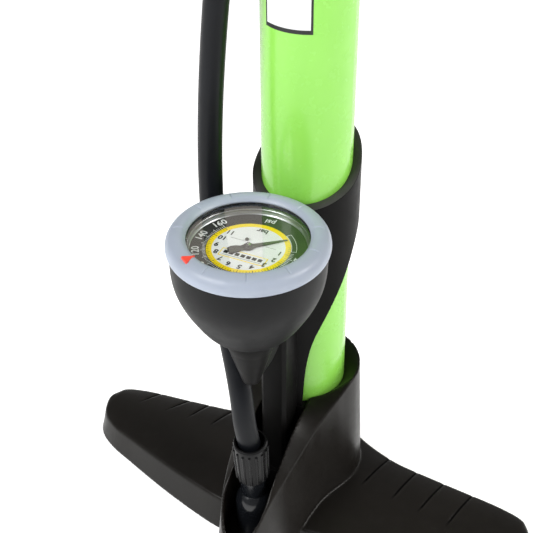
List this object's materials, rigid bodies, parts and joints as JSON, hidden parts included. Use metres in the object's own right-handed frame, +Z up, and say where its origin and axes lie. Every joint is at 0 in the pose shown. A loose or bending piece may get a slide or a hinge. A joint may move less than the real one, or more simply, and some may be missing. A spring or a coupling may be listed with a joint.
{
  "type": "floor bike pump",
  "caption": "Upright floor pump: finned feet, slim painted barrel, cup-shaped dial gauge on a front bracket, T-handle plunger, hose looped over a hook to a lever chuck.",
  "frame": {"origin": "on the floor at the barrel's axis, at the centre of the middle foot pad", "axes": "+Z up along the barrel, -Y towards the gauge and the hose trough, X along the feet and the handle"},
  "size_m": [0.2462, 0.1216, 0.6748],
  "materials": {
    "base_plastic": "fine textured black moulding",
    "pad_rubber": "soft black rubber",
    "barrel_paint": "glossy lime green paint",
    "seal_rubber": "black nitrile",
    "brass": "turned brass",
    "steel": "plain steel",
    "rod_chrome": "polished rod",
    "fitting_plastic": "gloss black moulding",
    "hose_rubber": "smooth black hose rubber",
    "case_plastic": "soft touch black",
    "ring_rubber": "grey blue soft ring",
    "marker_plastic": "red marker",
    "crystal": "clear gauge glass",
    "dial_print": "printed dial",
    "rim_metal": "bright inner rim",
    "needle_paint": "dark grey needle",
    "top_plastic": "black moulding",
    "piston_plastic": "white acetal",
    "grip_rubber": "textured grip",
    "accent_plastic": "green accent plug",
    "zinc": "zinc plated"
  },
  "bodies": {
    "stand": {"base": "base_plastic", "foot_pads": "pad_rubber", "barrel": "barrel_paint", "base_seal": "seal_rubber", "valve_body": "brass", "check_spring": "steel", "hose_fitting": "fitting_plastic", "hose_nut": "fitting_plastic", "hose": "hose_rubber", "gauge_bracket": "base_plastic", "bracket_screws": "zinc", "air_line": "piston_plastic", "gauge_case": "case_plastic", "dial_rim": "rim_metal", "gauge_crystal": "crystal", "dial_plate": "dial_print", "movement": "brass", "gauge_socket": "brass", "bourdon_tube": "brass", "top_cap": "top_plastic", "rod_bushing": "piston_plastic", "hose_hook": "top_plastic", "head_dock": "top_plastic", "head_ferrule": "zinc", "pump_head_body": "fitting_plastic", "head_gasket": "seal_rubber", "head_cap": "accent_plastic", "lever_pin": "zinc"},
    "plunger": {"piston_rod": "rod_chrome", "rod_bumper": "seal_rubber", "piston": "piston_plastic", "piston_cup": "seal_rubber", "piston_bolt": "zinc", "handle": "top_plastic", "handle_plug": "accent_plastic", "grip_left": "grip_rubber", "grip_right": "grip_rubber", "grip_plugs": "accent_plastic"},
    "needle": {"gauge_needle": "needle_paint"},
    "bezel": {"bezel_ring": "ring_rubber", "target_marker": "marker_plastic"},
    "valve_ball": {"check_ball": "steel"},
    "lever": {"head_lever": "fitting_plastic"},
    "chuck_plunger": {"head_plunger": "piston_plastic"}
  },
  "joints": [
    {"name": "pump_stroke", "type": "slide", "parent": "stand", "child": "plunger", "axis": [0, 0, 1], "range_m": [0, 0.52]},
    {"name": "needle_sweep", "type": "hinge", "parent": "stand", "child": "needle", "pos_m": [0, -0.0556, 0.1865], "axis": [0, 0, -1], "range_deg": [0, 255], "stiffness_Nm_per_rad": 0.00001, "springref_deg": -11.46},
    {"name": "bezel_turn", "type": "hinge", "parent": "stand", "child": "bezel", "pos_m": [0, -0.0556, 0.187], "axis": [0, 0, 1], "continuous": true},
    {"name": "valve_lift", "type": "slide", "parent": "stand", "child": "valve_ball", "axis": [0, 0, -1], "range_m": [0, 0.0015], "stiffness_N_per_m": 30, "springref_m": -0.002, "deforming": ["check_spring"]},
    {"name": "lever_flip", "type": "hinge", "parent": "stand", "child": "lever", "pos_m": [0.044, -0.008, 0.318], "axis": [-1, 0, 0], "range_deg": [0, 90]},
    {"name": "chuck_press", "type": "slide", "parent": "stand", "child": "chuck_plunger", "axis": [0, -1, 0], "range_m": [0, 0.0015]}
  ],
  "couplings": [
    {"joint": "chuck_press", "follows": "lever_flip", "m_per_rad": 0.00095}
  ]
}
